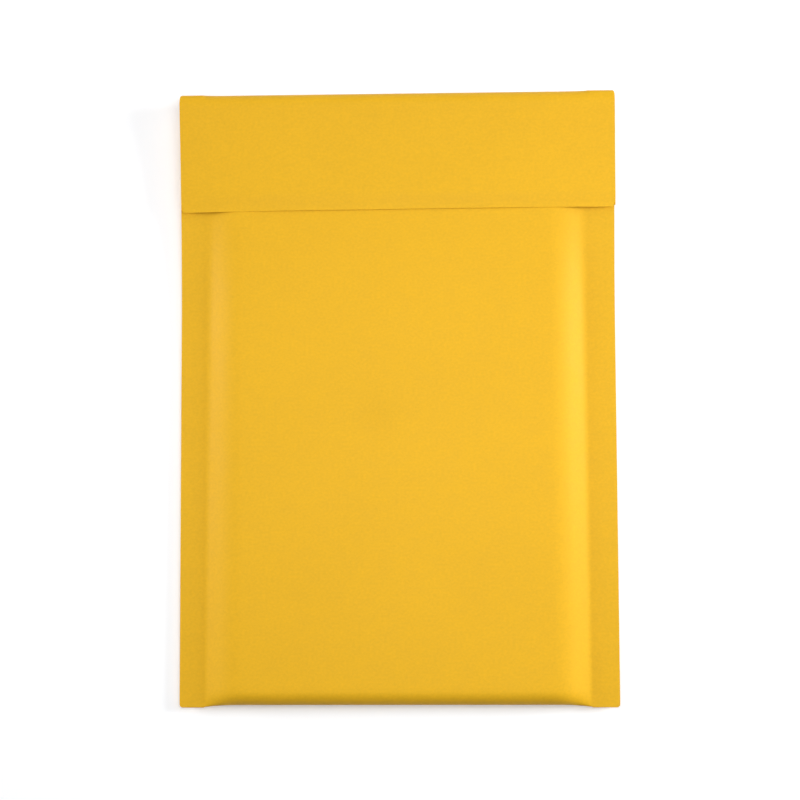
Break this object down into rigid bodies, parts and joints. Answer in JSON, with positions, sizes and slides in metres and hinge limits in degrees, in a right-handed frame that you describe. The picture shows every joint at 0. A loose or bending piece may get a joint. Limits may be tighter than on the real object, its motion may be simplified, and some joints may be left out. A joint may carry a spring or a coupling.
{
  "type": "padded envelope",
  "caption": "Flat padded mailing envelope of golden paper with sealed side seams, a bubble-film lining and a flap folded down over the front.",
  "frame": {"origin": "centre of the envelope's outline, on the surface that its back lies on", "axes": "+X across the envelope to the right, +Y up it to the fold of the flap, +Z out of its front"},
  "size_m": [0.2003, 0.2815, 0.0107],
  "materials": {
    "golden_paper": "smooth uncoated golden-yellow wrapping paper, matt with a faint sheen",
    "clear_film": "thin clear bubble film",
    "adhesive": "tacky pale adhesive",
    "release_paper": "white silicone-coated paper"
  },
  "bodies": {
    "root": {"paper_envelope": "golden_paper", "bubble_lining": "clear_film", "adhesive_strip": "adhesive", "release_liner": "release_paper"}
  },
  "joints": []
}
